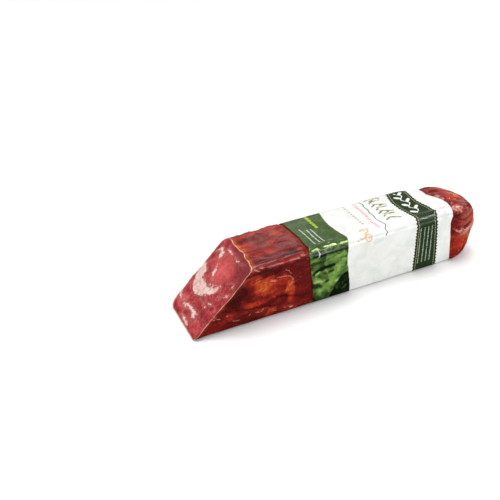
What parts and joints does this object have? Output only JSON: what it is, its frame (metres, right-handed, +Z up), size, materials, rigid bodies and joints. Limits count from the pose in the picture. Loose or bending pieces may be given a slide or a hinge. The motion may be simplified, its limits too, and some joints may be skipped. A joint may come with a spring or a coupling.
{
  "type": "cured sausage",
  "caption": "Pressed, flat-sided cured sausage cut on the bias, with marbled meat, a glossy casing gathered closed at one end and a printed film label.",
  "frame": {"origin": "middle of the flat underside, halfway along and across the sausage", "axes": "+X along the sausage from the cut to the gathered end, +Z up from the underside, -Y the side that the cut's low lip is on"},
  "size_m": [0.189, 0.038, 0.035],
  "materials": {
    "cured_meat": "moist, marbled with cream fat",
    "sausage_casing": "glossy, translucent, wrinkled",
    "printed_film": "glossy printed film"
  },
  "bodies": {
    "root": {"meat": "cured_meat", "casing": "sausage_casing", "label_sleeve": "printed_film"}
  },
  "joints": []
}
